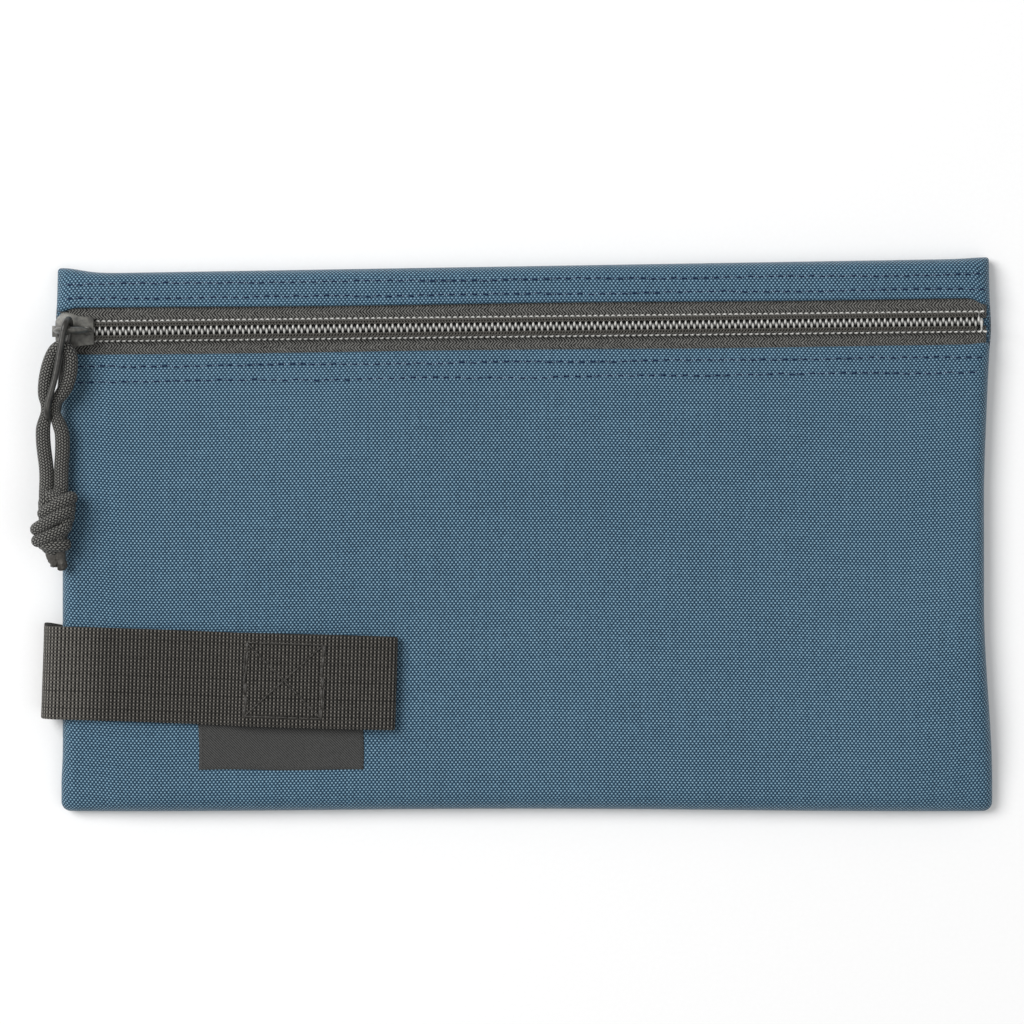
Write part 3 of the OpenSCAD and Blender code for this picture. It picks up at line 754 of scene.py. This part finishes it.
y = np.linspace(-66, 45, 60)
x = np.linspace(-118, 118, 100)
binding_in = 3.3
binding_rad = 1.5
for name, line in (
    ("side_binding_left", [left_x(y) + binding_in, y, 4.3 + 0.1 * np.sin(y / 7)]),
    ("side_binding_right", [right_x(y) - binding_in, y, 4.3 + 0.1 * np.sin(y / 6)]),
    ("bottom_binding", [x, bottom_y(x) + 3.4, 4.2 + 0.1 * np.sin(x / 9)]),
):
    made = piece(name + "_tape", [tube(np.stack(line, 1), binding_rad, sides=12, flat=0.45)])
    place(made, tape_binding, "bag", "binding", name)

# ---------- zip ----------
# Two herringbone tapes of charcoal polyester. On each, one black monofilament is wound into
# flattened loops round a filler cord and sewn down by a chain of thread over the loops' legs.

tape_top = 7.0
tape_t = 0.6
tape_w = 13.6
tape_gap = 1.05
pitch = 1.6


def tape_net(side):
    """One tape, from its sewn edge to the line of the zip; its ends turn down into the seams."""
    rows = []
    for d in np.concatenate([np.linspace(tape_w, 5.2, 6), np.linspace(4.9, tape_gap, 6)]):
        guess = np.linspace(-126, 126, len(across(0.0, 9, 1)))
        y = zip_y(guess) + side * d
        x = np.array([across(v, 9, 1, 0.9)[j] for j, v in enumerate(y)])
        if d < 5:
            x = np.maximum(x, -124 + (x - x[0]) * 0.02)
        y = zip_y(x) + side * d
        d_side = np.minimum(x - left_x(y), right_x(y) - x) - 0.9
        low = seam_z(y) - 0.3
        rows.append(np.stack([x, y, low + (tape_top - low) * rise(d_side, 2.0)], 1))
    rows = np.array(rows if side < 0 else rows[::-1])
    return net(rows, weave_uv(rows))


# Herringbone: slanting ribs 0.85 mm apart whose lean changes every 1.2 mm across the tape.
herringbone, tree, shader = start("herringbone_tape", Roughness=0.78, Specular_IOR_Level=0.15,
                                  Sheen_Weight=0.05)
u, v = measures(tree)[1:]
slant = calc(tree, "ADD", u, calc(tree, "PINGPONG", v, 1.2))
slant = calc(tree, "MULTIPLY_ADD", noise(tree, 900.0), 0.7, slant)
yarns = wave(tree, slant, 0.85)
tone = calc(tree, "MULTIPLY_ADD", wave(tree, v, 0.38), 0.25, yarns)
tone = vary(tree, tone, noise(tree, 2200.0, 3.0), 2.4)
colour(tree, shader, span(tree, tone, -0.95, 1.6), "040404", "93928e")
emboss(tree, shader, yarns, 0.7, 0.0002)


def coil_route(first, last):
    """The line of one wound filament and its thickness: over from its back to the flattened
    head, down, back under, and on to the next."""
    turn = [(0, 2.35, 1.50, 0.28), (0, 1.6, 1.50, 0.27), (0, 1.0, 1.54, 0.34), (0, 0.4, 1.60, 0.43),
            (0, -0.2, 1.56, 0.43), (0, -0.66, 1.30, 0.40), (0, -0.80, 0.95, 0.34), (0, -0.55, 0.40, 0.26),
            (0, 0.2, 0.24, 0.22), (0.05, 1.5, 0.24, 0.22), (0.12, 2.05, 0.36, 0.26), (0.4, 2.42, 0.8, 0.29),
            (0.8, 2.74, 1.3, 0.30), (1.25, 2.78, 1.5, 0.30)]
    count = int((last - first) / pitch)
    return np.array([(first + i * pitch + x, y, z, r) for i in range(count) for x, y, z, r in turn])


def along_zip(route, side):
    """Turn a route drawn beside the zip's line into one on its side of the bag."""
    made = np.array(route, float)
    x = made[:, 0].copy()
    made[:, 1] = zip_y(x) + side * made[:, 1]
    made[:, 2] += tape_top
    return made


# Polyester monofilament, near black: the heads and the backs of the loops, which face the lamps,
# are painted pale as a highlight, uneven with cloudy noise.
filament, tree, shader = start("polyester_monofilament", Roughness=0.3, Specular_IOR_Level=0.8,
                               Coat_Weight=0.4, Coat_Roughness=0.25)
cloudy = noise(tree, 1500.0)
painted_highlight = add(tree, "Attribute", out=2, attribute_name="painted_highlight")
painted_highlight = calc(tree, "MULTIPLY", painted_highlight, span(tree, cloudy, 0.2, 0.6, 0.7))
colour(tree, shader, painted_highlight, "070707", "c4c3be")
emboss(tree, shader, cloudy, 0.15, 0.0001)


def twisted(tree, turns):
    """The strands of a thread that is twisted this many turns to the millimetre."""
    u, v = measures(tree)[1:]
    return wave(tree, calc(tree, "MULTIPLY_ADD", v, turns, u), 1.0)


# Sewing thread of the coil: twisted polyester, charcoal, matt.
chain_thread, tree, shader = start("charcoal_thread", Roughness=0.8, Specular_IOR_Level=0.15,
                                   Sheen_Weight=0.05)
twist = twisted(tree, 2.6)
colour(tree, shader, span(tree, twist, -1.0), "0f0e0e", "77746e")
emboss(tree, shader, twist, 0.6, 0.0001)

# Filler cord inside the loops.
filler, tree, shader = start("filler_cord", Roughness=0.9)
tipped = add(tree, "Mapping", {0: add(tree, "TexCoord", out=3), 2: (0, 0, 0.6)})
strands = add(tree, "TexWave", {"Vector": tipped, "Scale": 900.0, "Distortion": 1.5}, out=1)
colour(tree, shader, strands, "1c1c1b", "45443f")
emboss(tree, shader, strands, 0.5, 0.0001)

chain_start = -119.6
chain_run = 242.4
thread_rad = 0.21
core_rad = 0.49
for side, which, body in ((-1, "lower", "bag"), (1, "upper", None)):
    made = thicken(piece(f"tape_{which}", [tape_net(side)], outwards=False), tape_t)
    place(made, herringbone, body, "zip_tape", f"zip_tape_{which}")
    turns = coil_route(-121.6 + (0.8 if side > 0 else 0), 126.5)
    wound = piece(f"coil_{which}", [tube(along_zip(turns[:, :3], side), turns[:, 3], sides=8)])
    place(wound, filament, body, "zip_coil", f"zip_coil_{which}")
    spots = np.array([vertex.co for vertex in wound.data.vertices]) / mm - middle / mm
    beside = side * (spots[:, 1] - zip_y(spots[:, 0]))
    high = spots[:, 2] - tape_top
    # Painted highlight: pale on the flat tops of the heads, the backs of the loops and the last loops at the
    # right end.
    head_highlight = ease((high - 1.62) / 0.3) * ease((beside + 0.35) / 0.3) * ease((1.35 - beside) / 0.3)
    heel_highlight = 0.9 * ease((beside - 2.3) / 0.2) * ease((high - 0.9) / 0.4)
    head_highlight += 0.7 * ease((spots[:, 0] - 123.6) / 1.2) * ease((high - 0.8) / 0.5)
    painted_highlight = wound.data.attributes.new("painted_highlight", "FLOAT", "POINT")
    painted_highlight.data.foreach_set("value", (head_highlight + heel_highlight).astype(np.float32))
    chains = []
    for phase in (0.0, 0.5):
        t = np.arange(0, chain_run / pitch, 0.125)
        x = chain_start + (t + phase) * pitch
        y = 1.78 + 0.5 * np.cos(2 * math.pi * t)
        z = 1.98 + 0.10 * np.sin(2 * math.pi * t)
        chains.append(tube(along_zip(np.stack([x, y, z], 1), side), thread_rad, sides=6))
    chain = place(piece(f"chain_{which}", chains), chain_thread, body, "zip_thread", f"zip_thread_{which}")
    coat(f"zip_core_{which}", filler)
    if side > 0:
        lip_pieces += [made, wound, chain]

core_line = np.array([(x, 1.475, 0.95) for x in np.linspace(chain_start, 123.6, 123)])
core = piece("core_upper", [tube(along_zip(core_line, 1), core_rad, sides=8)])
place(core, filler, None, "zip_coil", "zip_core_upper")
lip_pieces.append(core)

# ---------- rows of stitches along the zip ----------
# Two lockstitched rows on each side of the zip, in navy polyester thread: each stitch is a
# short bulge of thread that dives into its needle hole at both ends.

seam_thread, tree, shader = start("navy_seam_thread", Roughness=0.6, Specular_IOR_Level=0.2)
twist = twisted(tree, 1.7)
v = measures(tree)[2]
# Painted highlight: each stitch is painted pale towards both ends, dark navy in its middle.
ends = span(tree, calc(tree, "ABSOLUTE", calc(tree, "SUBTRACT", v, 1.35)), 0.5, 1.1)
colour(tree, shader, calc(tree, "MULTIPLY", span(tree, twist, 0.2), ends), "142548", "b8d2e6")
emboss(tree, shader, twist, 0.6, 0.0001)

stitch_length = 2.5
stitch_gap = 0.4
stitch_rad = 0.18
stitch_proud = 0.17
random.seed(11)


def stitch(a, b, height_at, radius, proud):
    """One stitch from a to b in plan, lying on the face whose height height_at gives."""
    a, b = np.array(a, float), np.array(b, float)
    steps = np.array([0.0, 0.08, 0.22, 0.5, 0.78, 0.92, 1.0])
    lift = np.array([-0.55, 0.05, 0.8, 1.0, 0.8, 0.05, -0.55]) * proud
    plan = a + (b - a) * steps[:, None]
    height = height_at(plan[:, 0], plan[:, 1]) + lift
    return tube(np.column_stack([plan, height]), radius, sides=6, flat=0.8, caps=False)


def zip_row(offset):
    """A row of stitches beside the zip, at this distance up the bag from its line."""
    made = []
    x = -125.4
    while x < 123.8:
        length = stitch_length + random.uniform(-0.3, 0.3)
        wander = 0.15 * math.sin(x / 9 + offset) + random.uniform(-0.12, 0.12)
        a = (x, zip_y(x) + offset + wander)
        b = (x + length, zip_y(x) + offset + wander + random.uniform(-0.2, 0.2))
        made.append(stitch(a, b, cloth_z, stitch_rad, stitch_proud))
        x += length + stitch_gap + random.uniform(-0.1, 0.15)
    return made


for name, seams, body, node in (("hem_thread", hem_seams, "bag", "hem_stitches"),
                                ("band_thread", band_seams, None, "band_stitches")):
    made = piece(name, zip_row(seams[0]) + zip_row(seams[1]))
    place(made, seam_thread, body, "seam_thread", node)
lip_pieces.append(made)

# The mouth opens like a lens: its ends are sewn into the side seams. The upper lip's pieces
# have their placing baked into their meshes.
for made in lip_pieces:
    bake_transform(made)
    spots = (np.array([vertex.co for vertex in made.data.vertices]) - middle) / mm
    x = spots[:, 0]

# ---------- hand strap ----------
# One-inch nylon webbing, woven in ribs with dotted lines along it: it runs out from under the
# back, folds round the left side, lies over the front and is turned under at its end.

web_t = 1.4
web_lo = 0.3
web_hi = 9.0
fold_r = (web_hi + web_t - web_lo) / 2
strap_left = -132.0
fold_x = strap_left + fold_r
end_x = strap_left + 97.2


def web_at(x, v, z):
    """A point of the strap: x along it, v across it, turned a little about the bag's left edge."""
    x, v = np.asarray(x, float) + half_w, np.asarray(v, float)
    return np.stack([x * math.cos(strap_tilt) - v * math.sin(strap_tilt) - half_w,
                     x * math.sin(strap_tilt) + v * math.cos(strap_tilt) + strap_y,
                     np.broadcast_to(z, x.shape)], -1)


# The strap's outer face as seen from the side, from its rear end to its turned-under end.
turns = np.radians(np.linspace(0, 180, 23))
rear = [(x, web_lo) for x in np.linspace(strap_back_end, fold_x + 4, 24)]
bend = [(fold_x - fold_r * math.sin(a), web_lo + fold_r * (1 - math.cos(a))) for a in turns]
flat_run = [(x, web_hi + web_t) for x in np.linspace(fold_x + 3, -84.5, 14)]
climb = [(-82 + 2 * i, web_hi + web_t + web_t * float(ease(i / 3))) for i in range(4)]
doubled = [(x, web_hi + 2 * web_t) for x in np.linspace(-73, end_x - 1.6, 13)]
tip = [(end_x - web_t + web_t * math.sin(a), web_hi + web_t + web_t * math.cos(a))
       for a in np.radians([25, 60, 90, 120, 155])]
under = [(x, web_hi) for x in np.linspace(end_x - 1.8, -77.5, 14)]
profile = np.array(rear + bend + flat_run + climb + doubled + tip + under)

selvedge = [(-1.0, 0.42), (-0.992, 0.16), (-0.965, 0.0)]
bars = selvedge + [(s, 0.0) for s in np.linspace(-0.93, 0.93, 15)] + [(-s, d) for s, d in reversed(selvedge)]
outward = np.gradient(profile, axis=0)
outward = np.stack([-outward[:, 1], outward[:, 0]], 1)
outward /= np.linalg.norm(outward, axis=1)[:, None]
along = np.concatenate([[0], np.cumsum(np.linalg.norm(np.diff(profile, axis=0), axis=1))])
rows, uv = [], []
for s, drop in bars:
    curl = 0.10 * np.sin(along / 9 + 2 * s) + 0.22 * ease((np.abs(s) - 0.7) / 0.3) * np.sin(along / 6.5)
    skew = 0.9 * ease((fold_x + 2 - profile[:, 0]) / 8) * (profile[:, 1] < web_lo + fold_r)
    curl = 0.25 * np.clip(curl, -0.4, 0.4) * (profile[:, 1] > 5)
    edge = profile + outward * (curl - drop)[:, None]
    rows.append(web_at(edge[:, 0], s * strap_half + skew + 0.12 * np.sin(along / 14), edge[:, 1]))
    uv.append(np.stack([along, np.full(len(along), s * strap_half)], 1))
rows, uv = np.array(rows), np.array(uv)
strap = thicken(piece("webbing", [net(rows, uv)], outwards=False), web_t - 0.1)

# Nylon webbing: hard ribs 1.04 mm apart with yarns 0.46 mm apart across them, dull charcoal
# with paler crowns, and five faint lines along it where the yarns change course.
webbing, tree, shader = start("nylon_webbing", Roughness=0.66, Specular_IOR_Level=0.15, Sheen_Weight=0.04)
u, v = measures(tree)[1:]
crossing, stand = weave(tree, u, v, 0.52, 0.46)
lines = span(tree, calc(tree, "PINGPONG", v, 2.4), 0.0, 0.32, -0.25, 0.0)
level = calc(tree, "ADD", calc(tree, "MULTIPLY_ADD", wave(tree, u, 1.04), 0.9, crossing), lines)
level = vary(tree, level, noise(tree, 2000.0, 3.0), 1.4)
level = calc(tree, "POWER", span(tree, level, -1.1, 1.9), 1.9)
# Where it bends round the bag's edge, facing the light, its colour is painted paler as a highlight.
fold_highlight = calc(tree, "MULTIPLY", span(tree, u, 96.0, 107.0, 1.0, 0.0), span(tree, u, 78.0, 84.0))
level = calc(tree, "MULTIPLY", level, calc(tree, "MULTIPLY_ADD", fold_highlight, 0.9, 1.0))
colour(tree, shader, level, "030303", "928e87")
emboss(tree, shader, stand, 0.8, 0.0003)
place(strap, webbing, "bag", "webbing", "web_strap")


def bonded(name, scale, dark, light, **sockets):
    """Thread whose strands are bonded together, so that its twist shows only faintly."""
    made, tree, shader = start(name, **sockets)
    twist = add(tree, "TexWave", {"Vector": add(tree, "TexCoord", out=3), "Scale": scale, "Distortion": 2.0},
                out=1)
    colour(tree, shader, twist, dark, light)
    emboss(tree, shader, twist, 0.5, 0.0001)
    return made


# The strap is held by a box of stitches with a cross in it, whose short sides are sewn over
# three times. The same rows show at the back.
strap_thread = bonded("black_bonded_thread", 1400.0, "181715", "514e49", Roughness=0.5, Coat_Weight=0.15)


def sewn_line(a, b, length, gap, radius, level, flip=1, jitter=0.0):
    """Stitches in a line from a to b on the strap, on its face at level; flip -1 is the back."""
    a, b = np.array(a, float), np.array(b, float)
    total = np.linalg.norm(b - a)
    count = int(total / (length + gap))
    step = (b - a) / count
    made = []
    for i in range(count):
        p = a + step * i + np.array([random.uniform(-jitter, jitter), random.uniform(-jitter, jitter)])
        q = p + step * (length / (length + gap))
        shares = np.array([0.0, 0.08, 0.25, 0.5, 0.75, 0.92, 1.0])
        lift = np.array([-0.5, 0.0, 0.7, 1.0, 0.7, 0.0, -0.5]) * radius * 0.9
        plan = p + (q - p) * shares[:, None]
        made.append(tube(web_at(plan[:, 0], plan[:, 1], level + flip * lift), radius, sides=6, caps=False))
    return made


box = [(-76, -10.05), (-55, -10.05), (-55, 10.05), (-76, 10.05)]
for name, level, flip, node in (("strap_thread_front", web_hi + 2 * web_t + 0.05, 1, "strap_stitches_front"),
                                ("strap_thread_back", web_lo + 0.24, -1, "strap_stitches_back")):
    made = []
    for i, (a, b) in enumerate(zip(box, box[1:] + box[:1])):
        passes, radius, jitter = (3, 0.27, 0.45) if i % 2 else (1, 0.22, 0.05)
        for _ in range(passes):
            made += sewn_line(a, b, 2.4, 0.45, radius, level, flip, jitter)
    for a, b in ((box[0], box[2]), (box[1], box[3])):
        made += sewn_line(a, b, 2.4, 0.4, 0.22, level, flip, 0.05)
    place(piece(name, made), strap_thread, "bag", "strap_thread", node)

# ---------- woven label ----------
# A plain woven label with nothing on it, folded at its edges and sewn down under the strap
# with a row of fine stitches along each free edge.

label_lo, label_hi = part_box("label")
label_w, label_h = (label_hi.x - label_lo.x) / mm, (label_hi.y - label_lo.y) / mm
label_x, label_y = (label_lo.x - middle[0]) / mm, (label_lo.y - middle[1]) / mm


def label_z(x, y):
    return cloth_z(x, y) + 0.38


rows = []
for y in np.concatenate([[0, 0.12, 0.4], np.linspace(1, label_h - 1, 16), [label_h - 0.3, label_h]]):
    x = np.concatenate([[0, 0.12, 0.4], np.linspace(1, label_w - 1, 24),
                        [label_w - 0.4, label_w - 0.12, label_w]])
    near_edge = np.minimum(np.minimum(x, label_w - x), y)
    x = x + 0.15 * np.sin(y / 3.1)
    y = np.full_like(x, y) + 0.12 * np.sin(x / 5.3)
    folded = 0.22 * (1 - np.clip(near_edge / 0.4, 0, 1))
    z = label_z(x + label_x, y + label_y) - folded + 0.03 * np.sin(x / 1.7)
    rows.append(np.stack([x + label_x, y + label_y, z], 1))
rows = np.array(rows)
label = thicken(piece("blank_label", [net(rows, weave_uv(rows))], outwards=False), 0.3)

damask, tree, shader = start("woven_label", Roughness=0.6, Specular_IOR_Level=0.15, Sheen_Weight=0.05)
u, v = measures(tree)[1:]
# Fine twill, 0.35 mm between its ribs, drawn at 0.5 mm so that it shows.
twill = wave(tree, calc(tree, "ADD", u, v), 0.72)
level = vary(tree, twill, noise(tree, 2600.0), 1.6)
colour(tree, shader, span(tree, level, -1.4, 1.4), "131313", "5a5a59")
emboss(tree, shader, twill, 0.4, 0.0001)
place(label, damask, "bag", "label_weave", "label")

label_yarn = bonded("grey_label_thread", 1600.0, "1d1d1c", "4f4f4d", Roughness=0.6, Sheen_Weight=0.2)

made = []
inset = 0.9
corners = [(inset, label_h - 10), (inset, inset), (label_w - inset, inset), (label_w - inset, label_h - 10)]
for a, b in zip(corners, corners[1:]):
    a, b = np.array(a, float), np.array(b, float)
    count = int(np.linalg.norm(b - a) / 1.5)
    for i in range(count):
        p = a + (b - a) * i / count + (label_x, label_y)
        made.append(stitch(p, p + (b - a) / count * 0.68, label_z, 0.11, 0.12))
place(piece("label_thread", made), label_yarn, "bag", "label_thread", "label_stitches")
